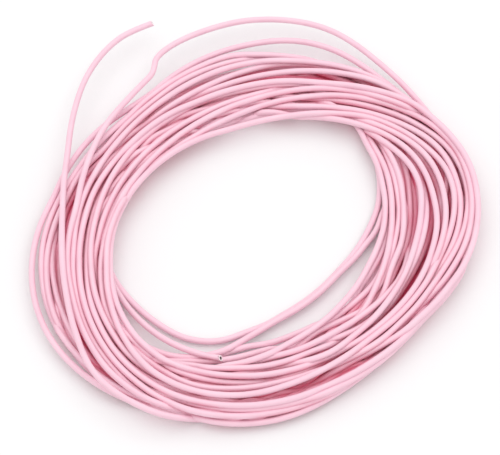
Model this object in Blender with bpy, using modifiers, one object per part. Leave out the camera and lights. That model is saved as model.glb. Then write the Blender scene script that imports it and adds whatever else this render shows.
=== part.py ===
"""Loose hand-wound coil of thin PVC-insulated stranded hook-up wire.

One continuous wire, 1.2 mm over its jacket with seven bare copper strands
inside, wound by hand into a flat oval coil about 92 mm across. Most turns lie
pressed together in one bundle; a few spring free of it inside and outside, and
both ends are cut square-ish with pliers and left loose.

Units are metres. +Z is up, the coil lies flat on z = 0, and the origin is the
centre of the footprint's bounding box. All polar values are about the coil's
own centre, angles anticlockwise from +X.
"""

import math

import bmesh
import bpy
from mathutils import Matrix, Vector

MM = 0.001

# ---- driving dimensions, in millimetres ----
WIRE_R = 0.60  # over the jacket
BORE_R = 0.31  # inside the jacket, round the seven strands
STRAND_R = 0.095  # one copper strand, 0.2 mm nominal
STRAND_PITCH_R = 0.20  # circle on which the six outer strands lie
STRAND_LAY = 14.0  # length of one full twist of the strands
END_LENGTH = 4.5  # bored jacket modelled at each cut end
END_GAP = 0.10  # between the bored end and the solid stretch behind it
STRAND_LENGTH = 4.2  # modelled length of each strand inside the jacket
CUT_SLOPE = 0.45  # slant of the plier cut, rise over wire diameter
OVAL_Y = 0.976  # the coil is slightly shorter across Y than across X
COIL_X, COIL_Y = -0.305, -4.515  # the coil's centre in the footprint's frame

# The bundle of turns: angle in degrees, inner radius, outer radius, height.
BUNDLE = [
    (0, 25.2, 45.0, 4.6),
    (15, 27.4, 46.6, 4.9),
    (30, 29.8, 46.6, 5.0),
    (45, 31.6, 45.6, 5.3),
    (60, 31.0, 45.0, 5.4),
    (75, 29.0, 44.0, 5.2),
    (90, 27.8, 43.0, 5.0),
    (105, 26.4, 41.4, 5.0),
    (120, 25.6, 39.8, 5.2),
    (135, 25.6, 39.6, 5.4),
    (150, 26.2, 40.2, 5.4),
    (165, 27.0, 40.8, 5.2),
    (180, 28.4, 42.0, 5.0),
    (195, 29.8, 43.2, 4.8),
    (210, 31.4, 44.0, 4.8),
    (225, 32.6, 44.4, 5.0),
    (240, 32.6, 44.2, 5.0),
    (255, 31.2, 44.0, 4.8),
    (270, 28.8, 43.8, 4.6),
    (285, 26.6, 42.0, 4.6),
    (300, 25.0, 39.6, 4.8),
    (315, 24.6, 38.4, 5.0),
    (330, 24.6, 39.0, 4.8),
    (345, 24.8, 42.0, 4.6),
]
BUNDLE_STATIONS = 72

PINK = (0.95, 0.60, 0.70)
COPPER = (0.62, 0.33, 0.20)

for old in list(bpy.data.objects):
    bpy.data.objects.remove(old, do_unlink=True)
coil = bpy.data.collections.new("hookup_wire_coil")
bpy.context.scene.collection.children.link(coil)


def material(name, colour, roughness, metallic=0.0):
    mat = bpy.data.materials.new(name)
    mat.use_nodes = True
    shader = mat.node_tree.nodes["Principled BSDF"]
    shader.inputs["Base Color"].default_value = (*colour, 1.0)
    shader.inputs["Roughness"].default_value = roughness
    shader.inputs["Metallic"].default_value = metallic
    return mat


def polar(angle_deg, radius, z=0.0):
    """A point of the coil, in millimetres in the footprint's frame."""
    a = math.radians(angle_deg)
    return Vector((COIL_X + radius * math.cos(a), COIL_Y + OVAL_Y * radius * math.sin(a), z))


def spline_value(keys, t, closed_span=None):
    """Catmull-Rom through (t, v1, v2...) rows, smooth in every value."""
    n = len(keys)
    if closed_span:
        t = keys[0][0] + (t - keys[0][0]) % closed_span

    def key(i):
        if closed_span:
            wraps, j = divmod(i, n)
            return (keys[j][0] + wraps * closed_span, *keys[j][1:])
        if i < 0:
            return tuple(2 * a - b for a, b in zip(keys[0], keys[1]))
        if i >= n:
            return tuple(2 * a - b for a, b in zip(keys[-1], keys[-2]))
        return keys[i]

    i = 0
    while i < (n - 1 if closed_span else n - 2) and key(i + 1)[0] <= t:
        i += 1
    p0, p1, p2, p3 = key(i - 1), key(i), key(i + 1), key(i + 2)
    h = p2[0] - p1[0]
    s = (t - p1[0]) / h
    out = []
    for c in range(1, len(p1)):
        m1 = (p2[c] - p0[c]) / (p2[0] - p0[0]) * h
        m2 = (p3[c] - p1[c]) / (p3[0] - p1[0]) * h
        out.append(
            (2 * s**3 - 3 * s**2 + 1) * p1[c]
            + (s**3 - 2 * s**2 + s) * m1
            + (-2 * s**3 + 3 * s**2) * p2[c]
            + (s**3 - s**2) * m2
        )
    return out


def add(name, data, mat, matrix=None):
    ob = bpy.data.objects.new(name, data)
    coil.objects.link(ob)
    data.materials.clear()
    data.materials.append(mat)
    if matrix is not None:
        ob.matrix_world = matrix
    return ob


def tube(name, points, radius, mat, bevel_resolution=2):
    """A solid round length of wire through points in millimetres."""
    curve = bpy.data.curves.new(name, "CURVE")
    curve.dimensions = "3D"
    curve.bevel_depth = radius * MM
    curve.bevel_resolution = bevel_resolution
    curve.render_resolution_u = 0
    curve.use_fill_caps = True
    line = curve.splines.new("POLY")
    line.points.add(len(points) - 1)
    for slot, p in zip(line.points, points):
        slot.co = (p[0] * MM, p[1] * MM, p[2] * MM, 1.0)
    return add(name, curve, mat)


def polar_path(keys, spacing=2.6):
    """Even points along a smooth free stretch given as (angle, radius, height)."""
    first, last = keys[0][0], keys[-1][0]
    flip = 1 if last > first else -1
    rows = [(flip * k[0], k[1], k[2]) for k in keys]
    fine = []
    for i in range(401):
        t = rows[0][0] + (rows[-1][0] - rows[0][0]) * i / 400
        r, z = spline_value(rows, t)
        fine.append(polar(flip * t, r, z))
    return even(fine, spacing)


def free_path(points, spacing=2.6):
    """Even points along a smooth curve through points in millimetres."""
    rows, t = [], 0.0
    for i, p in enumerate(points):
        if i:
            t += (Vector(p) - Vector(points[i - 1])).length
        rows.append((t, *p))
    fine = [Vector(spline_value(rows, t * i / 400)) for i in range(401)]
    return even(fine, spacing)


def even(fine, spacing):
    lengths = [0.0]
    for a, b in zip(fine, fine[1:]):
        lengths.append(lengths[-1] + (b - a).length)
    count = max(3, round(lengths[-1] / spacing) + 1)
    out, j = [], 0
    for i in range(count):
        s = lengths[-1] * i / (count - 1)
        while j < len(fine) - 2 and lengths[j + 1] < s:
            j += 1
        u = (s - lengths[j]) / max(1e-9, lengths[j + 1] - lengths[j])
        out.append(fine[j].lerp(fine[j + 1], u))
    return out


# ---- materials ----
pink_pvc = material("pink_pvc", PINK, 0.42)
bundle_pvc = material("bundle_pvc", PINK, 0.42)
copper = material("copper", COPPER, 0.35, 1.0)

# ---- the bundle: one closed oval ring with a flat underside ----
bm = bmesh.new()
rings = []
for i in range(BUNDLE_STATIONS):
    angle = 360.0 * i / BUNDLE_STATIONS
    inner, outer, height = spline_value(BUNDLE, angle, closed_span=360.0)
    width = outer - inner
    section = [  # across from the inside to the outside, over the top
        (inner + 1.1, 0.0),
        (inner + 0.2, 0.7),
        (inner, 0.34 * height),
        (inner + 0.5, 0.62 * height),
        (inner + 0.16 * width, 0.86 * height),
        (inner + 0.34 * width, 0.98 * height),
        (inner + 0.55 * width, height),
        (inner + 0.76 * width, 0.92 * height),
        (outer - 0.08 * width, 0.72 * height),
        (outer - 0.2, 0.48 * height),
        (outer, 0.26 * height),
        (outer - 0.5, 0.3),
        (outer - 1.1, 0.0),
    ]
    rings.append([bm.verts.new(polar(angle, r, z) * MM) for r, z in section])
for i, ring in enumerate(rings):
    following = rings[(i + 1) % len(rings)]
    for j in range(len(ring)):
        k = (j + 1) % len(ring)
        bm.faces.new((ring[j], ring[k], following[k], following[j]))
bmesh.ops.recalc_face_normals(bm, faces=bm.faces)
mesh = bpy.data.meshes.new("coil_bundle")
bm.to_mesh(mesh)
bm.free()
add("coil_bundle", mesh, bundle_pvc)

# ---- turns that have sprung free of the bundle: (angle, radius, height) ----
FREE_TURNS = {
    "kinked_outer_turn": [
        (146, 38.4, 6.1),
        (138, 39.4, 6.0),
        (129, 41.2, 5.4),
        (122, 43.2, 4.9),
        (118.2, 44.6, 4.8),
        (115.8, 46.2, 4.8),
        (114.0, 48.2, 4.7),
        (109, 50.4, 4.4),
        (99, 51.8, 4.1),
        (88, 52.5, 3.9),
        (76, 52.3, 3.8),
        (64, 51.0, 3.9),
        (55, 49.3, 4.3),
        (47, 47.6, 5.2),
        (40, 46.2, 5.9),
    ],
    "second_outer_turn": [
        (104, 43.4, 2.6),
        (96, 44.9, 2.4),
        (88, 46.4, 2.3),
        (80, 47.4, 2.3),
        (72, 47.6, 2.4),
        (66, 47.2, 2.5),
    ],
    "left_outer_turn": [
        (238, 46.1, 2.6),
        (228, 46.9, 2.4),
        (218, 47.3, 2.2),
        (208, 47.0, 2.1),
        (198, 46.2, 2.1),
        (190, 45.0, 2.3),
        (184, 44.0, 2.6),
    ],
    "inner_loose_turn": [
        (199, 28.6, 3.0),
        (212, 28.4, 2.6),
        (226, 28.0, 2.2),
        (240, 27.0, 2.0),
        (255, 24.8, 1.9),
        (272, 21.8, 1.9),
        (290, 19.8, 2.0),
        (310, 19.2, 2.1),
        (328, 19.9, 2.2),
        (345, 21.6, 2.4),
        (360, 23.6, 2.7),
    ],
    "inner_second_turn": [
        (262, 27.0, 1.3),
        (272, 25.0, 1.2),
        (284, 23.2, 1.2),
        (298, 22.2, 1.2),
        (314, 21.9, 1.3),
        (330, 22.2, 1.5),
        (344, 23.2, 1.9),
    ],
}
for name, keys in FREE_TURNS.items():
    tube(name, polar_path(keys), WIRE_R, pink_pvc)


# ---- the two cut ends ----
def cut_end(prefix, path):
    """A loose end: its solid run, then a bored jacket with the seven strands."""
    tip = path[-1]
    before = min(path, key=lambda p: abs((p - tip).length - END_LENGTH))
    out = (tip - before).normalized()
    side = out.cross(Vector((0, 0, 1))).normalized()
    up = side.cross(out).normalized()
    frame = Matrix((side, up, out)).transposed().to_4x4()
    root = tip - out * END_LENGTH
    frame.translation = root * MM
    kept = [p for p in path if (p - tip).length > END_LENGTH + 1.6]
    straight = [root - out * (END_GAP + 0.5), root - out * END_GAP]
    tube(prefix + "_tail", kept + straight, WIRE_R, pink_pvc)

    profile = bpy.data.meshes.new(prefix + "_profile")
    corners = [(BORE_R, 0), (WIRE_R, 0), (WIRE_R, END_LENGTH), (BORE_R, END_LENGTH)]
    profile.from_pydata(
        [(r * MM, 0, z * MM) for r, z in corners], [(0, 1), (1, 2), (2, 3), (3, 0)], []
    )
    turned = bpy.data.objects.new(prefix + "_profile", profile)
    coil.objects.link(turned)
    screw = turned.modifiers.new("turn", "SCREW")
    screw.axis = "Z"
    screw.angle = math.tau
    screw.steps = screw.render_steps = 28
    screw.use_merge_vertices = True
    screw.merge_threshold = 1e-7
    bpy.context.view_layer.update()
    body = bpy.data.meshes.new_from_object(
        turned.evaluated_get(bpy.context.evaluated_depsgraph_get())
    )
    bpy.data.objects.remove(turned, do_unlink=True)
    shaped = bmesh.new()
    shaped.from_mesh(body)
    bmesh.ops.remove_doubles(shaped, verts=shaped.verts, dist=1e-6)
    for v in shaped.verts:
        if v.co.z > 0.5 * END_LENGTH * MM:
            v.co.z += CUT_SLOPE * v.co.x
    bmesh.ops.recalc_face_normals(shaped, faces=shaped.faces)
    shaped.to_mesh(body)
    shaped.free()
    body.name = prefix + "_end_jacket"
    add(prefix + "_end_jacket", body, pink_pvc, frame)

    for n in range(7):
        radius = 0.0 if n == 0 else STRAND_PITCH_R
        points = []
        for i in range(13):
            z = END_LENGTH - STRAND_LENGTH * (1 - i / 12)
            a = math.radians(60 * n) + math.tau * z / STRAND_LAY
            slant = CUT_SLOPE * radius * math.cos(a) * (1 if i == 12 else 0)
            local = Vector((radius * math.cos(a), radius * math.sin(a), z + slant))
            points.append((frame.to_3x3() @ local) + root)
        tube(f"{prefix}_strand_{n + 1}", points, STRAND_R, copper, 1)


OUTER_TAIL = [
    (247, 45.6, 3.2),
    (240, 45.9, 3.9),
    (233, 45.7, 4.7),
    (226, 45.0, 5.6),
    (219, 43.4, 6.0),
    (212, 41.8, 6.0),
    (204, 40.3, 6.0),
    (194, 39.0, 6.1),
    (184, 38.3, 6.2),
    (174, 38.2, 6.3),
    (165, 39.2, 6.4),
    (156, 41.2, 6.4),
    (148, 43.6, 6.2),
    (139, 46.6, 5.9),
    (128, 50.2, 5.5),
    (118, 53.0, 5.2),
    (111, 54.0, 5.0),
]
INNER_TAIL = [
    (204, 29.4, 4.4),
    (216, 29.6, 3.9),
    (228, 29.7, 3.5),
    (242, 29.5, 3.2),
    (257, 28.8, 3.0),
]
cut_end("outer", polar_path(OUTER_TAIL, 2.0))
cut_end("inner", polar_path(INNER_TAIL, 1.5))
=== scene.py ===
"""A loose hand-wound coil of pink PVC hook-up wire lying on a white surface.

The wire is one continuous route of about forty-seven turns. Its stretches that
lie on top are laid out as lists of angle:radius, and a small relaxation
settles them and the turns beneath them so that they rest on one another.
"""

import math

import bpy
import numpy as np
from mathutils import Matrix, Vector


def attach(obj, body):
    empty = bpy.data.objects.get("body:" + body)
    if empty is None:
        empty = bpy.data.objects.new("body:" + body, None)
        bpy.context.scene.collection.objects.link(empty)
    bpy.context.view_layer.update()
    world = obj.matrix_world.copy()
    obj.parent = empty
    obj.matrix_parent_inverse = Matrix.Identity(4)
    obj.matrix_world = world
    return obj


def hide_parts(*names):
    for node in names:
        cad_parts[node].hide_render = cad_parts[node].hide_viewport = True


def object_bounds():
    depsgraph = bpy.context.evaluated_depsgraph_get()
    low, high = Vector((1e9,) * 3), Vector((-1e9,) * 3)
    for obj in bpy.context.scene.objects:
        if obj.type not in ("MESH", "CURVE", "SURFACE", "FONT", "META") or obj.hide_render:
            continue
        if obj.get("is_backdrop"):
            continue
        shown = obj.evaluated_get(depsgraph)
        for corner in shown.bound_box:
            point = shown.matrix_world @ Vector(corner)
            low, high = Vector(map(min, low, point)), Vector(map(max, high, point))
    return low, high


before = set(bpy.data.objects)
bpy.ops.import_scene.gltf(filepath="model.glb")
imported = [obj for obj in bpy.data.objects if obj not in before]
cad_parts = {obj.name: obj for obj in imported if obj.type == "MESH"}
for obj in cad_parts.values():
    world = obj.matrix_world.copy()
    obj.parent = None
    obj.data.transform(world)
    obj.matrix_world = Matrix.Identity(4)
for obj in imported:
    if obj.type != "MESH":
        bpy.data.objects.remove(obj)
start_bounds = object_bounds()

# ---- the wire and the camera's side, in millimetres and degrees ----
WIRE_R = 0.60
BORE_R = 0.31
STRAND_R = 0.095
STRAND_PITCH_R = 0.20
OVAL_Y = 0.976
COIL_X, COIL_Y = -0.305, -4.515
UNIT = 0.2  # the radii below are in fifths of a millimetre
LEVEL = 1.0  # height of one layer of turns
ELEV = math.radians(60.0)
CAM_DIST = 450.0
FOCAL_U = 2250.0  # lens length in the same units as the frame's 500 x 455
TARGET = (-0.905, -2.52, 5.15)

# name, height levels (one value, or angle:level pairs), angle:radius pairs.
# Travel along the wire is towards smaller angles.
ROUTE = [
 ("start", "257:2 235:1.8 215:1.5 200:1.0", "257.2:144.6 255:145.2 250:145.6 245:146.5 240:147.3 235:147.9 230:148.3 220:148.6 210:149 200:149.5"),
 ("tail", "254:2.5 247:3.4 240:4.2 222:5 205:5.2 180:5 160:4.6 145:4.2 125:4.2 111:4.4", "254:221.5 250:225 247:226.8 245:227.3 240:227.8 235:227.8 230:227 225:224.8 222:221.5 220:219 217:215.5 215:212.3 210:207 205:202.2 200:198 195:195.2 190:193 185:191.5 180:191 175:191.5 170:193.3 165:196.3 160:201 155:206 150:213 146.4:220.1 141:231.3 135.8:242.9 130.8:254.8 125.7:263.8 123.4:267.9 120.8:271.5 118.4:273.2 115.4:273.9 111.4:274.4"),
 ("second", "246:0.6 232:1.4 200:2 165:2.6 140:2.4 120:2.6 100:2.2 80:2.2 60:2.4 50:1.6", "248:219.5 244:222.8 240:225.6 236:228 232:230 230:231 225:232.8 220:234.2 215:234.7 210:234.3 205:233 200:231 195:228 190:224.8 185:221 180:217 175:212.7 170:208 165:204.2 160:203.8 155:203.2 150:202.3 145:201.5 140:200.5 135:199.3 130:198 125:197.8 120:199.5 118:201.3 115:206 110:211.3 105:217 100:222 95:226.7 90:230.8 85:235.5 80:238.5 75:239.2 70:238 65:234.7 60:230.8 57:228.8 55:227.5 50:226"),
 ("kinked", "240:2.4 225:3.4 205:4 180:4 165:4.4 150:5 135:5 118:4.2 100:3.4 80:3 60:2.6 50:2.2 40:1.4", "240:216.5 235:215 230:213.5 225:211.2 220:207 215:203.2 210:199.3 205:195.8 200:192.3 195:190.2 190:188.3 185:186.3 180:184.3 175:182.2 170:180.4 165:181 160:183.5 155:186.2 150:189.5 145:193.3 140:197.5 135:201.5 130:204.8 128.1:206 125.9:208.8 123.4:211.3 121.1:214.1 118.7:217.3 117.4:219.9 116.4:223.3 115.7:227.2 115.1:231.3 114.2:234.8 113:237.8 111.5:240.5 110:242.7 107.3:245.8 104.7:248 102.2:250.1 98.6:253.2 95.2:256.2 90.7:259.2 86.3:260.4 81.9:261.4 77.4:261 73.9:260 70.2:256.9 66.2:252.2 61.7:246.6 56.9:241.4 52:237.5 47:233.5 44:231.5 40:229.5"),
 ("a12", "310:1.6 270:1.2 235:2.2 200:3.6 160:4 100:3.8 66:3.5 55:2.6", "310:192.8 305:194.7 300:197.3 295:200.7 290:204.4 285:208.8 280:212.7 275:215.8 270:218 265:219 260:219.5 255:219 250:217.7 245:217 240:215.4 235:212.5 230:208.9 225:205 220:202 215:198.6 210:195 205:191.7 200:188.3 195:185.5 190:182.8 185:180 180:178.2 175:177.8 170:177.2 165:176.8 160:176.4 155:176 150:176.2 145:176.6 140:177.3 135:178.8 130:180.8 125:183 120:186.2 115:189.7 110:193.7 105:197.5 100:202 95:205.5 90:208.8 85:212 80:214 75:217 70:220.3 65:223 60:225 55:226.5"),
 ("z62", "295:2.3 270:2.2 240:3 215:4 120:3.8 105:3.5 85:4 50:4.6 20:4.4 -20:4 -50:3.4", "295:197.5 288.5:200.3 285:202 280:204.2 275:206 270:208.3 265:210 260:211 255:211.5 250:211 245:209.7 240:207.7 235:205 230:202.3 225:199.2 220:195.8 215:192.3 210:188.8 205:185.5 200:182.3 195:179.3 190:176.3 185:174.3 180:172.3 175:170.7 170:169.5 165:169 160:168.5 155:167.5 150:166.8 145:166.3 140:166.3 135:166.7 130:167.5 125:168.7 120:169.7 115:170.5 110:171 105:173.5 100:176.2 95:179 90:182.5 85:186.3 80:189.8 75:193 72:195 69:197.3 65:202 60:208.3 55:215 50:221.3 45:227.5 40:229 35:231.5 30:233.2 25:234.2 20:233.8 15:231.3 10:228.7 5:225.2 0:221.3 -5:216.5 -9:212.5 -15:204.8 -20:199.8 -25:194.7 -30:189.6 -35:187 -40:183.2 -43.5:180 -50:177"),
 ("long38", "72:2.8 60:3.4 30:4 -20:4 -90:3.8 -130:4 -170:4.2 -200:3.8 -260:3 -295:3.5 -340:3.6 -400:4 -450:4.4 -490:4.8 -530:4.2 -600:3.2 -640:3 -670:3.6 -700:4 -734:3.6 -745:2.5", "72:152 70:154 65:158.8 60:164 55:169.2 50:174.1 45:179 40:183.7 35:187.5 30:189 26:189.5 20:188.5 15:187.3 10:186.4 5:184.8 0:182 -5:179.2 -10:176.5 -15:174 -20:171.2 -25:168.5 -30:166 -35:164 -40:162.5 -46:161 -50:160 -55:159 -60:158.6 -65:158.8 -70:159 -75:159.6 -80:160 -85:161.1 -90:161.8 -95:162.7 -100:163.7 -105:165 -110:166 -115:167.3 -120:168 -125:167.8 -130:166.3 -135:164.8 -140:162.3 -145:159.6 -150:156.6 -155:153.8 -160:151 -165:148.2 -170:145.7 -175:143.5 -180:142 -185:140 -190:138.5 -195:136.5 -200:135 -205:133.7 -210:132.5 -215:131.5 -220:130.8 -225:130.3 -230:130 -235:129.8 -240:129.8 -245:130 -250:130.6 -255:130.8 -259.5:131.5 -265:134.3 -270:137.3 -275:141.5 -280:145.8 -285:151.3 -290:157.5 -295:164 -300:171.3 -305:178.7 -310:185.8 -315:192 -320:197 -325:202 -330:206 -333:208.7 -336:210.2 -340:210.2 -345:208.6 -350:204.5 -355:199.8 -360:194.2 -365:188.5 -370:184.4 -375:181.5 -380:178.2 -385:175 -390:172.2 -395:169.8 -400:167.2 -405:166.3 -410:166 -415:166.6 -420:167.6 -425:169.2 -430:171.5 -435:174.2 -440:176.7 -443:179 -450:183.2 -455:185.8 -460:187.3 -465:188.6 -470:188.8 -475:188.6 -480:187 -485:184.8 -490:180.6 -495:176.6 -500:172 -505:167.3 -510:163 -515:158.8 -520:155 -525:150.7 -530:148.2 -535:146.2 -540:144.5 -545:142.3 -550:140.3 -555:138.5 -560:137 -565:136 -570:135.2 -575:134.4 -580:133.3 -585:132.3 -590:131.9 -595:132.2 -601:133.8 -605:134.8 -610:137.8 -615:140.5 -620:144.5 -625:148.7 -630:154.3 -635:160 -640:166.4 -645:172.8 -650:180 -655:187.8 -660:195 -665:202 -670:209 -675:215.5 -680:221.8 -685:226 -690:229 -693:230.2 -697.5:228.8 -700:228 -705:225.8 -710:222.6 -715:218.7 -720:214.2 -725:208.3 -730:202 -735:196.6 -740:190.3 -745:186"),
 ("z39", "70:1.4 55:2.2 40:2.8 10:3.4 -45:3.8 -70:3.2 -110:3 -145:3.2 -190:3.8 -260:3.6 -290:4 -316:3.6 -325:2.6", "70:176 65:181.5 60:187 56.5:191.2 50:199.3 45:206.3 40:212.3 35:218 30:222.7 25:224.7 20:224.3 15:222.2 10:218.6 5:213.5 0:207.8 -5:200.8 -10:194.3 -15:189.2 -20:185.5 -25:182.6 -30:179.6 -35:177 -40:176 -45:174.3 -50:172.5 -55:171 -60:170 -65:169 -70:168.8 -75:169.7 -80:171 -85:173 -90:175.4 -95:177.6 -100:179.8 -105:182 -110:182.8 -115:181.6 -120:180 -125:178.6 -130:177 -135:175.5 -140:174.5 -145:172.5 -150:169.3 -154:166.3 -160:161 -165:157.5 -170:154 -175:150.5 -180:147.8 -185:145.3 -190:143.2 -195:141.3 -200:140 -205:139.2 -210:138.7 -215:138.4 -220:138.3 -225:138.9 -230:140 -235:141.5 -240:143.6 -245:146 -250:149 -255:152.3 -260:156.3 -265:160.5 -270:165 -275:170.8 -280:176.8 -285:183.3 -290:190.3 -295:195.8 -300:202.2 -305:207.8 -310:213.8 -315:220 -320:225 -325:228.5"),
 ("w55", "352:3 342:3.8 300:3.4 260:3.6 206:3.8 195:2.6", "352:212.5 345:206.8 340:201.8 335:196.5 330:192.5 325:191.5 320:190.3 315:188.9 310:187.9 305:187.6 300:187.6 295:188.3 290:189.5 285:191.4 280:193.2 275:194.7 270:196.3 265:197.6 260:198.8 255:199.7 250:200.2 245:200 240:198.8 235:197 230:194.6 225:192 220:188.8 215:185.2 210:182 205:179 200:175.5 195:171.5"),
 ("w57", "350:2.2 340:3 310:2.6 280:2.8 264:2.8 255:2", "350:213.3 345:208.3 340:203.3 335:197.8 330:194 325:192.9 320:192.5 315:192.4 310:192.8 305:192.7 300:193.4 295:194.5 290:196 285:197 280:198.7 275:200.1 270:201.7 264.5:203 260:203.8 255:203.8"),
 ("z17", "245:2 235:3 222:3.8 85:3.8 72:2.6", "245:188 235:187.5 230:186 226:184 220:180 215:177 210:174.5 205:172 200:169.3 195:166.6 190:164.4 185:162.8 180:161.3 175:160 170:159 165:158.8 160:158.8 155:159 150:159.2 145:159.7 140:160.7 135:161.5 130:162.3 125:164 120:165.3 115:167 110:169 105:171.3 100:173.6 95:174.8 90:177.6 85:181.7 80:185.2 75:188.5 72:190.3"),
 ("z20", "215:0.4 200:1 190:1.8 180:2.7 168:3.5 95:3.5 80:2.4", "215:168 210:166.5 205:164.8 200:163.3 195:162 190:160.5 185:157.3 180:154.3 175:152.4 170:151 165:149.7 160:148.6 155:147.9 150:147.4 140:147.7 130:149 125:150.3 120:151.6 115:153.7 110:156 105:158.9 100:162.3 95:166 90:170 85:174.8 80:180"),
 ("m29", "246:1.2 222:1.5 190:2 165:2.6 120:3 87:3 75:2", "246:214.5 241:218 236:220.2 231:221.8 227:222.8 222:223.2 215:223 210:222.5 205:222 200:220 195:217.3 190:214.7 185:212 180:209 175:205.5 170:201.8 165:198.3 160:195.3 155:193 150:192 145:191.3 140:190.7 135:190.2 131:190.5 128:192 125:195 120:198 115:202 110:206 105:210.3 100:215 95:219 90:217.8 85:218.3 80:218.8 75:219.3"),
 ("z18", "246:0.2 217:0.6 200:1.4 185:2.2 160:3 120:3.2 96:3.1 85:2.2", "248:215.5 244:218.4 240:220.8 235:223.3 230:224.8 225:225.2 221:224.8 217:223.5 210:220 205:217.6 200:215.5 195:212.3 190:209.3 185:206.3 180:202.3 175:198.8 170:195 165:191.8 160:190.7 155:189 150:186 145:182.2 140:182.8 135:184.7 130:186.5 125:188.7 120:191.8 115:196.3 110:200.8 105:204.3 100:207.7 95:211 90:213.2 85:215.3"),
 ("n1", "1", "205:209 200:207 195:205 190:203.3 185:201 180:197.8 177:196"),
 ("z30", "130:1.8 120:2.8 110:3.3 90:3.1 75:2.6 55:1.8", "130:173 125:174 120:176.3 115:178.7 110:182.2 105:186 100:190.7 95:195.7 90:200.8 85:206.8 80:210.8 75:213.6 70:216 65:218 60:219.6 55:221"),
 ("z34", "107:2.6 98:3.5 90:4 55:4 45:3.4", "107:178.8 105:179.6 100:183.2 95:187 90:191.3 85:196 80:200.8 75:206 70:211 65:215.8 60:220.7 56:224 50:225.5 45:226.5"),
 ("z36", "80:2 70:2.9 60:3.4 0:3.4 -10:2.6", "80:159 75:162.2 70:166.5 65:172 60:178.2 55:184.5 50:191.3 45:198.2 40:204.5 35:211 30:214.8 27:216 24:216.1 20:215.4 15:214 10:211 5:206.8 0:201.8 -5:196 -10:190.5"),
 ("z36b", "1.6", "95:140 90:144.5 85:148.8 80:153"),
 ("z40", "60:1.8 54:2.6 46:3.5 38:3.9 -5:3.9 -15:3.2", "60:168.5 55:173.8 52:177.5 45:185.5 40:191.2 35:196 30:199.5 25:200.4 20:199.8 15:198 10:196 5:192.8 0:189.3 -5:185.8 -10:182 -15:179"),
 ("z48", "2", "30:194 25:195 20:194.8 15:193.8 10:192"),
 ("z42", "50:1.9 43:3 34:4.2 -60:4 -80:2.9", "50:170 46:172.3 40:174.3 35:178 30:180 25:180 20:178.3 15:174.5 10:170.5 5:167 0:163.5 -5:161 -10:159 -15:157.3 -20:155.8 -25:154.3 -30:153.3 -35:152.8 -40:152.5 -45:152.3 -50:152.5 -55:153.8 -61:155 -70:153.3 -80:154"),
 ("z42b", "20:2.2 12:3.2 5:3.9 -8:3.8 -15:2.8", "20:181 15:179 10:176.2 5:172.7 0:169.2 -5:165.8 -10:162.8 -15:160.5"),
 ("ds1", "1.2", "12:183 5:179 0:175 -5:171 -10:167 -15:163.7 -20:161"),
 ("z46", "1.2", "29:174 25:171 20:166 15:162 10:159.3 5:157 0:154.5 -5:151.5 -10:148.5"),
 ("z44", "45:1.8 36:3 -15:3 -25:2.3", "45:174 39:171.3 35:169 30:166.2 25:162.8 20:159 15:155.6 10:153.2 5:151.4 0:149.2 -5:146.7 -10:143.2 -15:142.3 -20:143 -25:145"),
 ("z45", "38:1.6 30:2.4 -4:2.4 -10:1.8", "38:167.5 35:165.3 30:161 25:157 20:154 15:151.2 10:148.3 5:145 0:142.2 -5:140 -10:139.3"),
 ("z41", "50:1.2 42:2.2 30:2.8 -28:2.8 -36:2.2", "50:169 45:165.5 40:161.3 35:158.3 30:154.8 25:150.8 20:147.3 15:143.8 10:141.2 5:139 0:137 -5:136 -10:134.8 -20:134.2 -25:134.8 -30:136.3 -36:138.5"),
 ("z47", "45:2.3 0:2.6 -50:3.4 -85:3.6 -100:2.6", "45:160 40:156 35:152 30:147.8 26.5:144.5 20:140.6 15:137 10:133.8 5:130.8 0:127.3 -5:124.5 -10:121.8 -15:119.8 -20:118.6 -30:117.3 -40:117.2 -45:118 -50:119.2 -55:120.4 -60:122 -65:124 -70:126.5 -75:129.5 -80:133.7 -85:137.8 -90:142.5 -95:147.5 -100:152"),
 ("z53", "-20:2.4 -30:3.6 -40:3.9 -85:3.9 -94:2.9", "-20:153 -25:149.5 -30:146.5 -35:144 -40:141 -45:139.5 -50:137.6 -60:136.8 -65:137.5 -70:138.6 -75:139.2 -80:140 -85:142.8 -90:146 -94:148.5"),
 ("z60", "-45:2.2 -56:3.4 -100:3.4 -113:2.4", "-45:151 -51:149 -55:147.5 -60:146.4 -65:145.3 -70:145.9 -75:147.3 -80:149.1 -85:150.6 -90:152 -95:153.2 -100:155.2 -105:157.5 -109:160 -113:162"),
 ("z59", "2.6", "-42:150.8 -46.5:148.7 -50:146.3 -55:143.6 -60:141.2 -66:139"),
 ("z54", "1.8", "-20:133 -26:131 -30:128.7 -35:126.7 -40:124.7 -45:124 -50:124 -55:124.5"),
 ("q1", "1.6", "3:133.5 0:132.3 -5:130.3 -10:127.7 -15:125 -20:122.8 -25:121.3"),
 ("z56", "1.8", "-38:138 -41.5:135.5 -45:132.4 -50:129.8 -55:127.5 -60:127"),
 ("r65", "0.9", "-58:119.5 -65:119.8 -70:120.3 -75:121.7 -80:123.8 -85:125.2 -90:126 -93:127.5 -95:129.3 -97:131.5 -100:135.8 -103:141 -107:147 -111:152 -115:157"),
 ("z64", "1.3", "-82:131.3 -85:132.2 -90:135.3 -95:140 -100:144.5 -105:149.5 -110:154.5 -114:158"),
 ("d1", "277:1.4 268:2.4 240:2.4 230:1.4", "277:168.5 270:170 265:170.6 260:171.3 255:172 250:172.6 245:172.8 240:173 235:172.3 230:170.5"),
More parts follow.
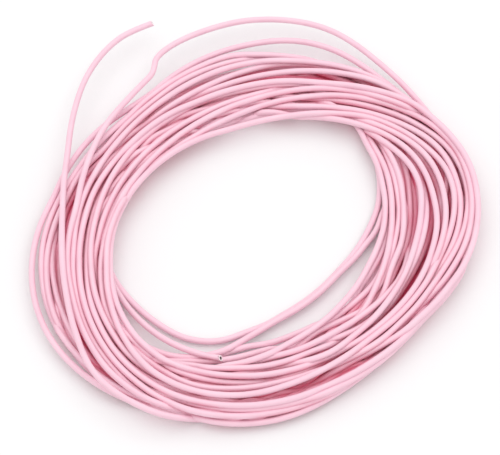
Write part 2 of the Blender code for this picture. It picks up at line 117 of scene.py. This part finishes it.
 ("il1", "35:1.2 20:0.6 -60:0.3 -120:0.4 -165:0.6", "35:151 30:146.5 27:142.5 25:139.8 20:134.3 15:128 10:121.2 5:115.5 0:110.4 -5:106 -10:101.8 -15:98.5 -20:95.2 -25:93 -30:91.3 -40:89.8 -50:89.6 -60:91 -70:94 -75:96.7 -80:100.5 -85:104 -90:107.5 -95:112 -100:118.5 -105:125 -110:129.3 -115:132.8 -120:135.5 -125:136.8 -130:137.4 -135:138.3 -140:139.7 -145:141 -150:142.5 -155:144.3 -160:146.3 -165:147.5"),
 ("il2", "12:1.4 0:0.9 -35:1.3 -75:1.3 -100:0.9 -128:1.2", "12:131 9:128.5 5:124.5 0:117 -5:110.5 -10:106.3 -15:101.8 -20:97.8 -25:95 -30:93 -40:91.8 -50:91.8 -60:93.3 -70:96 -75:98.5 -80:101.7 -85:107 -90:113 -95:120.5 -98:126 -100:131.5 -103:136.5 -106:141 -110:148.5 -113:152.5 -117:157 -120:160.3 -123:162.7 -128:165"),
]
# Open gaps between laid turns, where the hidden ones lie low: half width, angle:radius.
GAPS = [
    (6.5, "14:178 5:175.5 0:175.8 -5:173 -10:170.5 -15:167.5 -20:164 -25:162 -31:159.8"),
    (5.0, "30:174.5 25:171.5 20:167.5 15:163 10:160 5:157 0:155.5 -5:153 -10:150.5 -15:149.5 -22:149"),
    (4.5, "219:217 213:213 210:211 205:205.8 200:202.5 195:199.5 190:198 185:195.5 180:193"),
    (6.0, "246:224 238:222 232:219.5 227:216.5 222:213 217:209.5 211:204"),
    (5.0, "-40:183 -45:182.8 -55:181 -65:181 -75:183.5 -88:188.5"),
    (3.5, "75:167.5 70:173.3 65:178.3 60:184.3 55:191 50:197 40:209.3 30:218.5 25:219.7 15:217"),
    (4.5, "112:134 105:136 100:139.5 95:143 90:148 82:154"),
    (4.0, "110:178 95:182 85:190 75:201 65:212 55:220"),
]
# Angle, inner radius and outer radius of the bundle, in millimetres.
BUNDLE = [
    (0, 25.2, 45.0), (15, 27.4, 46.6), (30, 29.8, 46.6), (45, 31.6, 45.6),
    (60, 31.0, 45.0), (75, 29.0, 44.0), (90, 27.8, 43.0), (105, 26.4, 41.4),
    (120, 25.6, 39.8), (135, 25.6, 39.6), (150, 26.2, 40.2), (165, 27.0, 40.8),
    (180, 28.4, 42.0), (195, 29.8, 43.2), (210, 31.4, 44.0), (225, 32.6, 44.4),
    (240, 32.6, 44.2), (255, 31.2, 44.0), (270, 28.8, 43.8), (285, 26.6, 42.0),
    (300, 25.0, 39.6), (315, 24.6, 38.4), (330, 24.6, 39.0), (345, 24.8, 42.0),
]
SE, CE = math.sin(ELEV), math.cos(ELEV)
CAM = np.array([TARGET[0], TARGET[1] - CAM_DIST * CE, TARGET[2] + CAM_DIST * SE])


def seen_to_coil(angle, radius, z):
    """The coil's own angle and radius at height z of what the camera sees at angle:radius."""
    u = (253 + radius * np.cos(angle) - 250) / FOCAL_U
    v = (227.5 - (239 - 0.845 * radius * np.sin(angle))) / FOCAL_U
    ray = np.stack([u, CE + v * SE, -SE + v * CE], -1)
    t = (z - CAM[2]) / ray[..., 2]
    x = CAM[0] + t * ray[..., 0] - COIL_X
    y = (CAM[1] + t * ray[..., 1] - COIL_Y) / OVAL_Y
    return np.arctan2(y, x), np.hypot(x, y)


def pairs(text):
    return np.array([[float(v) for v in item.split(":")] for item in text.split()])


def lay_pieces():
    """Each piece as whole-degree stations: first angle, radii and heights."""
    out = []
    for name, levels, seen in ROUTE:
        p = pairs(seen)
        first = p[0, 0]
        t = np.arange(0, first - p[-1, 0] + 1e-6, 0.5)
        ang = first - t
        rad = np.interp(t, first - p[:, 0], p[:, 1])
        reach = np.arange(-14, 15)
        ker = np.exp(-((reach * 0.5) ** 2) / (2 * 2.4**2))
        ker /= ker.sum()
        left = 2 * rad[0] - rad[14:0:-1] if len(rad) > 14 else np.repeat(rad[0], 14)
        right = 2 * rad[-1] - rad[-2:-16:-1] if len(rad) > 15 else np.repeat(rad[-1], 14)
        even = np.convolve(np.concatenate([left, rad, right]), ker, "valid")
        if name == "kinked":
            near = np.exp(-(((ang - 117.0) / 7.0) ** 4))
            even = even * (1 - near) + rad * near
        if name == "tail":
            near = np.clip((122 - ang) / 5, 0, 1)
            even = even * (1 - near) + rad * near
        rad = even
        if ":" in levels:
            lv = pairs(levels)
            lev = np.interp(t, first - lv[:, 0], lv[:, 1])
        else:
            lev = np.full(len(t), float(levels))
        z = WIRE_R + LEVEL * lev
        aw, rw = seen_to_coil(np.radians(ang), rad, z)
        aw = np.degrees(np.unwrap(aw))
        aw += 360 * round((ang[0] - aw[0]) / 360)
        top, bottom = math.floor(aw.max()), math.ceil(aw.min())
        whole = np.arange(top, bottom - 1, -1)
        order = np.argsort(aw)
        r = np.interp(whole, aw[order], rw[order])
        zz = np.interp(whole, aw[order], z[order])
        out.append((name, top, bottom, r, zz))
    return out


BA = np.array(BUNDLE, float)


def band(angle):
    a = np.mod(angle, 360)
    x = np.append(BA[:, 0], 360)
    return np.interp(a, x, np.append(BA[:, 1], BA[0, 1])), np.interp(a, x, np.append(BA[:, 2], BA[0, 2]))


def smooth_line(v, reps=1):
    for _ in range(reps):
        p = np.pad(v, 1, mode="edge")
        v = 0.25 * p[:-2] + 0.5 * p[1:-1] + 0.25 * p[2:]
    return v


TURNS = 47


def make_chain():
    """Join the laid stretches into one wire, with the hidden turns between them."""
    pieces = {p[0]: p for p in lay_pieces()}

    def share(angle, r):
        lo, hi = band(angle)
        return (r - lo) / (hi - lo)

    todo = [n for n in pieces if n not in ("start", "tail")]
    order = ["start"]
    while todo:
        last = pieces[order[-1]]
        q = float(np.clip(share(last[2], last[3][-1]), 0, 1))
        best = min(todo, key=lambda n: abs(q - float(np.clip(share(pieces[n][1], pieces[n][3][0]), 0, 1))) + 0.55 * ((last[2] - pieces[n][1] - 60) % 360) / 360)
        order.append(best)
        todo.remove(best)
    order.append("tail")
    gaps = []
    for a, b in zip(order, order[1:]):
        gap = (pieces[a][2] - pieces[b][1]) % 360
        if gap < 60:
            gap += 360
        gaps.append(gap)
    seen_total = sum(len(p[3]) - 1 for p in pieces.values())
    total = seen_total + sum(gaps)
    want = TURNS * 360 + 146
    extra = max(0, round((want - total) / 360))
    gaps = [g + 360 * ((i + 1) * extra // len(gaps) - i * extra // len(gaps)) for i, g in enumerate(gaps)]
    rng = np.random.default_rng(7)
    mids = rng.permutation(np.linspace(0.02, 0.98, len(gaps)))
    ang, rad, hgt, vis, hold = [], [], [], [], []
    for i, name in enumerate(order):
        p = pieces[name]
        n = len(p[3])
        top = p[1] if not ang else ang[-1] - (gaps[i - 1])
        if i:
            a0, r0, z0 = ang[-1], rad[-1], hgt[-1]
            g = gaps[i - 1]
            t = np.arange(1, g, dtype=float)
            a = a0 - t
            lo, hi = band(a)
            q0, q1 = share(a0, r0), share(top, p[3][0])
            f = t / g
            ease = f * f * (3 - 2 * f)
            mid = mids[i - 1]
            q = q0 * (1 - ease) + q1 * ease
            q = q + (mid - 0.5 * (q0 + q1)) * np.sin(np.pi * f) ** 2 * min(1, g / 260)
            q += 0.05 * np.sin(2 * np.pi * (t / 150 + rng.uniform())) * np.minimum(1, np.minimum(t, g - t) / 60)
            q = np.clip(q, 0.03, 0.97)
            k0 = min(6, len(rad) - 1)
            s0 = (rad[-1] - rad[-1 - k0]) / k0
            k1 = min(6, n - 1)
            s1 = (p[3][k1] - p[3][0]) / k1
            back = g - t
            go = r0 + s0 * 14 * (1 - np.exp(-t / 14))
            come = p[3][0] - s1 * 14 * (1 - np.exp(-back / 14))
            w0, w1 = np.exp(-((t / 22) ** 2)), np.exp(-((back / 22) ** 2))
            w2 = np.maximum(0, 1 - w0 - w1)
            r = (w0 * go + w1 * come + w2 * (lo + q * (hi - lo))) / (w0 + w1 + w2)
            zlow = (0.6, 1.64)[rng.integers(2)]
            zl = z0 * (1 - f) + p[4][0] * f
            e2 = np.clip((np.minimum(t, back) - 2) / 34, 0, 1)
            e2 = e2 * e2 * (3 - 2 * e2)
            z = zlow * e2 + zl * (1 - e2)
            ang += list(a)
            rad += list(r)
            hgt += list(z)
            vis += [False] * len(a)
            RUNS.append((-1, len(a)))
            hold += list(np.maximum(np.exp(-((t / 15) ** 2)), np.exp(-((back / 15) ** 2))))
        ang += [top - j for j in range(n)]
        rad += list(p[3])
        hgt += list(p[4])
        vis += [True] * n
        RUNS.append((i, n))
        hold += [1.0] * n
    return np.array(ang, float), np.array(rad), np.array(hgt), np.array(vis), order, np.array(hold)


# loose stretches that have left the bundle
LOOSE = ("start", "tail", "second", "kinked", "il1", "il2", "r65", "z64", "n1")
RUNS = []


def settle():
    ang, r, z, vis, order, hold = make_chain()
    n = len(ang)
    rows = -(-n // 360)
    pad = rows * 360 - n
    cap = np.concatenate([np.ones(n, bool), np.zeros(pad, bool)]).reshape(rows, 360)
    visible = np.concatenate([vis, np.zeros(pad, bool)]).reshape(rows, 360)
    r_goal, z_goal = r.copy(), z.copy()
    lift = -np.cos(ELEV) / SE * np.sin(np.radians(ang))
    # the outermost and innermost laid turns at each station, at one height, bound the hidden ones
    names = np.concatenate([[i] * m for i, m in RUNS])
    ref = 4.6
    r_ref = r + lift * (ref - z)
    station = np.arange(n) % 360
    loose = np.isin(names, [i for i, _ in RUNS if i >= 0 and order[i] in LOOSE]) | (names < 0)
    inn, out = np.full(360, 1e3), np.full(360, -1e3)
    np.minimum.at(inn, station[~loose], r_ref[~loose])
    np.maximum.at(out, station[~loose], r_ref[~loose])
    wide = lambda v, f: f(np.stack([np.roll(v, k) for k in range(-4, 5)]), axis=0)
    inn, out = wide(inn, np.max), wide(out, np.min)
    ker = np.hanning(27)[1:-1]
    ker /= ker.sum()
    inn = np.convolve(np.concatenate([inn[-12:], inn, inn[:12]]), ker, "valid")
    out = np.convolve(np.concatenate([out[-12:], out, out[:12]]), ker, "valid")
    inn, out = inn[station] + 1.5, out[station] - 0.7
    whole = np.mod(np.round(ang), 360).astype(int)
    holes = []
    for half, seen in GAPS:
        g = pairs(seen)
        steps_g = np.arange(g[0, 0], g[-1, 0] - 0.1, -0.5)
        rg = np.interp(-steps_g, -g[:, 0], g[:, 1])
        aw, rw = seen_to_coil(np.radians(steps_g), rg, ref)
        line = np.full(360, np.nan)
        line[np.mod(np.round(np.degrees(aw)), 360).astype(int)] = rw
        holes.append((half * UNIT, line[whole]))
    d = 2 * WIRE_R * 1.0
    wr = np.where(vis, 0.15, 1.0 - 0.85 * hold)
    held = np.concatenate([hold, np.ones(pad)]).reshape(rows, 360)
    wz = np.where(vis, 0.6, 1.0)
    edge = np.minimum(np.arange(n), n - 1 - np.arange(n))
    iu, ju = np.triu_indices(rows, 1)
    both = cap[iu] & cap[ju]
    mixed = visible[iu] != visible[ju]
    hid_i = ~visible[iu]
    steps = 420
    for it in range(steps):
        R = np.concatenate([r, np.full(pad, 1e3)]).reshape(rows, 360)
        Z = np.concatenate([z, np.full(pad, 1e3)]).reshape(rows, 360)
        dr = R[iu] - R[ju]
        near = both & (np.abs(dr) < d)
        pi, ps = np.nonzero(near)
        drn = dr[pi, ps]
        dz = Z[iu[pi], ps] - Z[ju[pi], ps]
        dist = np.hypot(drn, dz)
        free = np.where(hid_i[pi, ps], held[iu[pi], ps], held[ju[pi], ps]) < 0.5
        over = mixed[pi, ps] & free & (np.where(hid_i[pi, ps], dz, -dz) > 0) & (np.abs(drn) < 0.85 * d)
        hit = (dist < d) | over
        pi, ps, drn, dz, dist = pi[hit], ps[hit], drn[hit], dz[hit], dist[hit]
        # a turn that should not be seen goes under one that should
        mx = mixed[pi, ps]
        sign = np.where(hid_i[pi, ps], -1.0, 1.0)
        soft_end = np.where(hid_i[pi, ps], held[iu[pi], ps], held[ju[pi], ps]) >= 0.3
        mx = mx & ~soft_end
        dz = np.where(mx & (sign * dz < 0.25), sign * 0.25, dz)
        dz = np.where(np.abs(dz) < 1e-3, 1e-3, dz)
        dist2 = np.maximum(np.hypot(drn, dz), 1e-4)
        push = 0.5 * np.maximum(d - dist2, 0)
        nr, nz = drn / dist2, dz / dist2
        DR = np.zeros((rows, 360))
        DZ = np.zeros((rows, 360))
        CT = np.zeros((rows, 360))
        for idx, s in ((iu[pi], 1.0), (ju[pi], -1.0)):
            np.add.at(DR, (idx, ps), s * push * nr)
            np.add.at(DZ, (idx, ps), s * push * nz)
            np.add.at(CT, (idx, ps), 1.0)
        scale = 1.0 / np.maximum(1.0, 0.6 * CT)
        dr_, dz_ = (DR * scale).reshape(-1)[:n], (DZ * scale).reshape(-1)[:n]
        dr_, dz_ = smooth_line(dr_, 3), smooth_line(dz_, 3)
        r = r + 1.5 * wr * dr_
        z = z + 1.5 * wz * dz_
        goal = r_goal + lift * (z - z_goal)
        pull = np.where(vis, 0.5, 0.004 + 0.3 * hold)
        r = r + pull * (np.where(vis | (hold > 0.05), goal, r_goal) - r)
        level_r = r + lift * (ref - z)
        inside = np.zeros(n, bool)
        for half, line in holes:
            with np.errstate(invalid="ignore"):
                inside |= np.abs(level_r - line) < half
        low = inside & ~vis & (hold < 0.3)
        z = np.where(low, z + 0.25 * (np.minimum(z, 1.3) - z), z)
        z = np.where(vis, z + 0.08 * (z_goal - z), z + 0.03 * np.minimum(z_goal - z, 0) - 0.01)
        shift = lift * (z - ref)
        k = 0.8 * (1 - hold)
        r = np.where(vis, r, k * np.clip(r, inn + shift, np.maximum(out, inn + 1) + shift) + (1 - k) * r)
        soft = smooth_line(r, 5)
        r = np.where(vis, r, soft)
        soft = smooth_line(z, 2)
        z = np.where(vis, 0.6 * z + 0.4 * soft, soft)
        z = np.maximum(z, WIRE_R)
    return ang, r, z, vis, order, goal


ANG, RAD, HGT, VIS, ORDER, GOAL = settle()
a = np.radians(ANG)
PATH = np.stack([COIL_X + RAD * np.cos(a), COIL_Y + OVAL_Y * RAD * np.sin(a), HGT], -1)


def resample(path, kink):
    """Rings along the route: 1.25 mm apart, closer in the kink and at both ends."""
    seg = np.linalg.norm(np.diff(path, axis=0), axis=1)
    s = np.concatenate([[0], np.cumsum(seg)])
    total = s[-1]
    want = [0.0]
    k = np.interp(kink, np.arange(len(s)), s)
    while want[-1] < total:
        here = want[-1]
        step = 1.33
        if abs(here - k) < 9:
            step = 0.45
        if here < 5 or here > total - 5:
            step = 0.5
        want.append(here + step)
    want[-1] = total
    want = np.array(want)
    # smooth through the stations: cubic through every station by Catmull-Rom
    idx = np.clip(np.searchsorted(s, want, side="right") - 1, 0, len(s) - 2)
    f = (want - s[idx]) / np.maximum(seg[idx], 1e-9)
    g = lambda i: path[np.clip(i, 0, len(path) - 1)]
    p0, p1, p2, p3 = g(idx - 1), g(idx), g(idx + 1), g(idx + 2)
    f = f[:, None]
    out = 0.5 * (2 * p1 + (p2 - p0) * f + (2 * p0 - 5 * p1 + 4 * p2 - p3) * f**2 + (3 * p1 - p0 - 3 * p2 + p3) * f**3)
    return out, total, idx + f[:, 0]


# the kink is where the radius changes fastest among the visible stretches
slope = np.abs(np.gradient(RAD)) * VIS
kink_at = int(np.argmax(slope))
RINGS, LENGTH, PLACE = resample(PATH, kink_at)


def shelter():
    """How far each station lies below its neighbours, and whether it has any beside it; these set the painted shade in
    the wire's colour.
    """
    n = len(RAD)
    rows = -(-n // 360)
    pad = rows * 360 - n
    R = np.concatenate([RAD, np.full(pad, 1e3)]).reshape(rows, 360)
    Z = np.concatenate([HGT, np.full(pad, 0.0)]).reshape(rows, 360)
    painted_gap_shade, crowd = np.zeros((rows, 360)), np.zeros((rows, 360))
    for k in range(rows):
        gap = R - R[k]
        rise = Z - Z[k] - 0.2 * np.abs(gap)
        outer = np.max(np.where((gap > 0.15) & (gap < 3.2), rise, 0), axis=0)
        inner = np.max(np.where((gap < -0.15) & (gap > -3.2), rise, 0), axis=0)
        level = np.abs(Z - Z[k]) < 1.3
        outward = np.sum(level & (gap > 0.4) & (gap < 5), axis=0)
        inward = np.sum(level & (gap < -0.4) & (gap > -5), axis=0)
        shut = np.clip((np.minimum(outward, inward) - 1) / 2, 0, 1)
        painted_gap_shade[k] = np.minimum(outer, inner) * shut
        near = (np.abs(gap) < 1.8) & (np.abs(Z - Z[k]) < 1.4)
        crowd[k] = np.minimum(np.max(near & (gap > 0.2), axis=0), np.max(near & (gap < -0.2), axis=0))
    painted_gap_shade = smooth_line(painted_gap_shade.reshape(-1)[:n], 4)
    crowd = smooth_line(crowd.reshape(-1)[:n], 4)
    return np.clip((painted_gap_shade - 0.5) / 2.4, 0, 1), crowd


PAINTED_DEPTH_SHADE, CROWD = shelter()
SIDES = 12


def frames(path):
    tan = np.gradient(path, axis=0)
    tan /= np.linalg.norm(tan, axis=1, keepdims=True)
    up = np.array([0.0, 0.0, 1.0])
    side = np.cross(tan, up)
    side /= np.linalg.norm(side, axis=1, keepdims=True)
    nrm = np.cross(side, tan)
    return tan, side, nrm


def tube_mesh(name, path, radius, sides):
    tan, side, nrm = frames(path)
    th = np.linspace(0, 2 * np.pi, sides, endpoint=False)
    circ = np.cos(th)[None, :, None] * side[:, None, :] + np.sin(th)[None, :, None] * nrm[:, None, :]
    rings = path[:, None, :] + radius * circ
    verts = [rings.reshape(-1, 3)]
    m = len(path)
    faces = []
    i = np.arange(m - 1)[:, None] * sides
    j = np.arange(sides)[None, :]
    jn = (j + 1) % sides
    quads = np.stack([i + j, i + sides + j, i + sides + jn, i + jn], -1).reshape(-1, 4)
    faces = [tuple(q) for q in quads.tolist()]
    count = m * sides
    cut = []
    # each end: a rim turned in to the bore, the bore wall, and its closed bottom; the bore wall and bottom take the
    # near-black painted-shadow material
    for end, sgn in ((0, -1.0), (m - 1, 1.0)):
        base = end * sides
        c, t = path[end], tan[end] * sgn
        prev = [base + q for q in range(sides)]
        slant = -np.sin(th) * (0.62 if end == 0 else 0.40) + 0.05 * np.cos(2 * th)
        extra = []
        for step, (rr, dep) in enumerate(((0.625, 0.0), (0.58, 0.05), (0.47, 0.07), (0.36, 0.05), (BORE_R, -0.03), (BORE_R, -1.6))):
            ring = c + rr * circ[end] + t * ((0.62 if end == 0 else 0.42) * 0.6 + dep + slant[:, None] * (rr if step < 5 else 0))
            extra.append(ring)
            cur = [count + q for q in range(sides)]
            for q in range(sides):
                w = (q + 1) % sides
                f = (prev[q], prev[w], cur[w], cur[q])
                faces.append(f if sgn < 0 else f[::-1])
                if step:
                    cut.append((len(faces) - 1, 1 if step <= 4 else 2))
            prev = cur
            count += sides
        verts += extra
        cap_f = tuple(prev)
        faces.append(cap_f[::-1] if sgn > 0 else cap_f)
        cut.append((len(faces) - 1, 2))
    mesh = bpy.data.meshes.new(name)
    mesh.from_pydata((np.concatenate(verts) * 0.001).tolist(), [], faces)
    # painted shade: the jacket colour darkens toward a saturated rose where a turn lies low between higher ones, and
    # on the lower sides of turns with neighbours on both sides. It stands in for the shade and red interreflection in
    # the gaps.
    at = np.interp(PLACE, np.arange(len(PAINTED_DEPTH_SHADE)), PAINTED_DEPTH_SHADE)
    beside = np.interp(PLACE, np.arange(len(PAINTED_DEPTH_SHADE)), CROWD)
    low = (1 - np.sin(th)) / 2
    shade = 0.85 * at[:, None] + 0.72 * beside[:, None] * low[None, :]
    values = np.zeros(count)
    values[: m * sides] = np.clip(shade, 0, 1).reshape(-1)
    att = mesh.attributes.new("painted_gap_shade", "FLOAT", "POINT")
    att.data.foreach_set("value", values)
    mesh.update()
    mesh.polygons.foreach_set("use_smooth", [True] * len(mesh.polygons))
    for q, which in cut:
        mesh.polygons[q].material_index = which
    obj = bpy.data.objects.new(name, mesh)
    bpy.context.scene.collection.objects.link(obj)
    return obj


def node_kit(mat):
    mat.use_nodes = True
    nt = mat.node_tree
    return nt, nt.nodes["Principled BSDF"]


def pvc():
    mat = bpy.data.materials.new("pink_pvc_satin")
    nt, bsdf = node_kit(mat)
    coord = nt.nodes.new("ShaderNodeTexCoord")
    noise = nt.nodes.new("ShaderNodeTexNoise")
    noise.inputs["Scale"].default_value = 220.0
    noise.inputs["Detail"].default_value = 3.0
    ramp = nt.nodes.new("ShaderNodeValToRGB")
    ramp.color_ramp.elements[0].position = 0.3
    ramp.color_ramp.elements[0].color = (0.87, 0.555, 0.66, 1)
    ramp.color_ramp.elements[1].position = 0.7
    ramp.color_ramp.elements[1].color = (0.90, 0.60, 0.70, 1)
    nt.links.new(coord.outputs["Object"], noise.inputs["Vector"])
    nt.links.new(noise.outputs["Fac"], ramp.inputs["Fac"])
    # painted shade: this attribute blends the pink toward the dark saturated rose below, painted into the gaps between
    # turns in place of shade.
    att = nt.nodes.new("ShaderNodeAttribute")
    att.attribute_name = "painted_gap_shade"
    mix = nt.nodes.new("ShaderNodeMix")
    mix.data_type = "RGBA"
    for socket in mix.inputs:
        if socket.name == "B" and socket.type == "RGBA":
            socket.default_value = (0.76, 0.085, 0.195, 1)
    nt.links.new(att.outputs["Fac"], mix.inputs[0])
    nt.links.new(ramp.outputs["Color"], [q for q in mix.inputs if q.name == "A" and q.type == "RGBA"][0])
    nt.links.new([q for q in mix.outputs if q.type == "RGBA"][0], bsdf.inputs["Base Color"])
    fine = nt.nodes.new("ShaderNodeTexNoise")
    fine.inputs["Scale"].default_value = 2600.0
    fine.inputs["Detail"].default_value = 4.0
    nt.links.new(coord.outputs["Object"], fine.inputs["Vector"])
    bump = nt.nodes.new("ShaderNodeBump")
    bump.inputs["Strength"].default_value = 0.12
    bump.inputs["Distance"].default_value = 0.00003
    nt.links.new(fine.outputs["Fac"], bump.inputs["Height"])
    nt.links.new(bump.outputs["Normal"], bsdf.inputs["Normal"])
    rough = nt.nodes.new("ShaderNodeMapRange")
    rough.inputs["To Min"].default_value = 0.32
    rough.inputs["To Max"].default_value = 0.44
    nt.links.new(noise.outputs["Fac"], rough.inputs["Value"])
    nt.links.new(rough.outputs["Result"], bsdf.inputs["Roughness"])
    bsdf.inputs["IOR"].default_value = 1.45
    return mat


def copper():
    mat = bpy.data.materials.new("cut_copper_strand_painted_shade")
    nt, bsdf = node_kit(mat)
    coord = nt.nodes.new("ShaderNodeTexCoord")
    noise = nt.nodes.new("ShaderNodeTexNoise")
    noise.inputs["Scale"].default_value = 5000.0
    ramp = nt.nodes.new("ShaderNodeValToRGB")
    # painted shade: the strands are coloured far darker than bare copper, for the shade they sit in inside the cut
    # end.
    ramp.color_ramp.elements[0].color = (0.09, 0.055, 0.045, 1)
    ramp.color_ramp.elements[1].color = (0.22, 0.13, 0.10, 1)
    nt.links.new(coord.outputs["Object"], noise.inputs["Vector"])
    nt.links.new(noise.outputs["Fac"], ramp.inputs["Fac"])
    nt.links.new(ramp.outputs["Color"], bsdf.inputs["Base Color"])
    bsdf.inputs["Metallic"].default_value = 1.0
    bsdf.inputs["Roughness"].default_value = 0.55
    return mat


def cut_face():
    """Fresh cut PVC, paler and duller than the skin."""
    mat = bpy.data.materials.new("cut_pvc_face")
    nt, bsdf = node_kit(mat)
    coord = nt.nodes.new("ShaderNodeTexCoord")
    noise = nt.nodes.new("ShaderNodeTexNoise")
    noise.inputs["Scale"].default_value = 4000.0
    ramp = nt.nodes.new("ShaderNodeValToRGB")
    ramp.color_ramp.elements[0].color = (0.86, 0.72, 0.76, 1)
    ramp.color_ramp.elements[1].color = (0.97, 0.88, 0.90, 1)
    nt.links.new(coord.outputs["Object"], noise.inputs["Vector"])
    nt.links.new(noise.outputs["Fac"], ramp.inputs["Fac"])
    nt.links.new(ramp.outputs["Color"], bsdf.inputs["Base Color"])
    bsdf.inputs["Roughness"].default_value = 0.6
    return mat


def bore_painted_shadow():
    """The inside of the jacket where the strands have drawn back, coloured near-black as a painted shadow over the
    pink jacket.
    """
    mat = bpy.data.materials.new("jacket_bore_painted_shadow")
    nt, bsdf = node_kit(mat)
    coord = nt.nodes.new("ShaderNodeTexCoord")
    noise = nt.nodes.new("ShaderNodeTexNoise")
    noise.inputs["Scale"].default_value = 3000.0
    ramp = nt.nodes.new("ShaderNodeValToRGB")
    ramp.color_ramp.elements[0].color = (0.045, 0.03, 0.03, 1)
    ramp.color_ramp.elements[1].color = (0.10, 0.065, 0.06, 1)
    nt.links.new(coord.outputs["Object"], noise.inputs["Vector"])
    nt.links.new(noise.outputs["Fac"], ramp.inputs["Fac"])
    nt.links.new(ramp.outputs["Color"], bsdf.inputs["Base Color"])
    bsdf.inputs["Roughness"].default_value = 0.8
    return mat


PVC, COPPER_PAINTED_SHADE, CUT, BORE_SHADOW = pvc(), copper(), cut_face(), bore_painted_shadow()
wire = tube_mesh("hookup_wire", RINGS, 0.625, SIDES)
wire.data.materials.append(PVC)
wire.data.materials.append(CUT)
wire.data.materials.append(BORE_SHADOW)
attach(wire, "root")
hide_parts("coil_bundle", "kinked_outer_turn", "second_outer_turn", "left_outer_turn", "inner_loose_turn", "inner_second_turn", "outer_tail", "inner_tail", "outer_end_jacket", "inner_end_jacket")

TAN, SIDE, NRM = frames(RINGS)
for label, end, sgn in (("inner", 0, -1.0), ("outer", len(RINGS) - 1, 1.0)):
    c, t, s, u = RINGS[end], TAN[end] * sgn, SIDE[end], NRM[end]
    for k in range(7):
        pts = []
        for j in range(9):
            back = 1.3 * (1 - j / 8.0)
            reach = -0.10 + 0.05 * math.sin(2.3 * k + (1 if sgn > 0 else 0))
            turn = math.radians(60 * (k - 1)) + 2 * math.pi * (back / 14.0)
            rr = 0.0 if k == 0 else STRAND_PITCH_R
            pts.append(c + t * (reach - back) + rr * (math.cos(turn) * s + math.sin(turn) * u))
        curve = bpy.data.curves.new(f"{label}_strand_end_{k + 1}", "CURVE")
        curve.dimensions = "3D"
        curve.bevel_depth = STRAND_R * 0.001
        curve.bevel_resolution = 2
        curve.use_fill_caps = True
        sp = curve.splines.new("POLY")
        sp.points.add(len(pts) - 1)
        for q, p in enumerate(pts):
            sp.points[q].co = (*(p * 0.001), 1.0)
        obj = bpy.data.objects.new(f"{label}_strand_end_{k + 1}", curve)
        bpy.context.scene.collection.objects.link(obj)
        curve.materials.append(COPPER_PAINTED_SHADE)
        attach(obj, "root")
        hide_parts(f"{label}_strand_{k + 1}")

# ---- floor, camera and light ----
bpy.ops.mesh.primitive_plane_add(size=6.0, location=(0, 0, 0))
floor = bpy.context.object
floor.name = "white_surface"
fmat = bpy.data.materials.new("white_surface")
fnt, fb = node_kit(fmat)
fb.inputs["Base Color"].default_value = (0.85, 0.85, 0.855, 1)
fb.inputs["Roughness"].default_value = 0.6
floor.data.materials.append(fmat)
floor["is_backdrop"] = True

cam_data = bpy.data.cameras.new("camera")
cam = bpy.data.objects.new("camera", cam_data)
bpy.context.scene.collection.objects.link(cam)
cam_data.sensor_width = 36.0
cam_data.lens = 162.0
cam_data.clip_start = 0.01
cam.location = CAM * 0.001
look = Vector([TARGET[i] * 0.001 for i in range(3)]) - cam.location
cam.rotation_euler = look.to_track_quat("-Z", "Y").to_euler()
bpy.context.scene.camera = cam

world = bpy.data.worlds.new("soft_white")
bpy.context.scene.world = world
world.use_nodes = True
world.node_tree.nodes["Background"].inputs["Color"].default_value = (1.0, 0.995, 0.99, 1)
world.node_tree.nodes["Background"].inputs["Strength"].default_value = 0.90


def area(name, loc, size, power):
    light = bpy.data.lights.new(name, "AREA")
    light.size = size
    light.energy = power
    obj = bpy.data.objects.new(name, light)
    bpy.context.scene.collection.objects.link(obj)
    obj.location = loc
    obj.rotation_euler = (Vector((0, 0, 0)) - Vector(loc)).to_track_quat("-Z", "Y").to_euler()


area("key", (0.05, 0.16, 0.92), 1.40, 4.62)
bpy.context.scene.view_settings.view_transform = "Standard"

end_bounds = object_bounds()


def plain(v):
    return [plain(x) for x in v] if hasattr(v, "__len__") else float(v)


{"start": plain(start_bounds), "end": plain(end_bounds)}
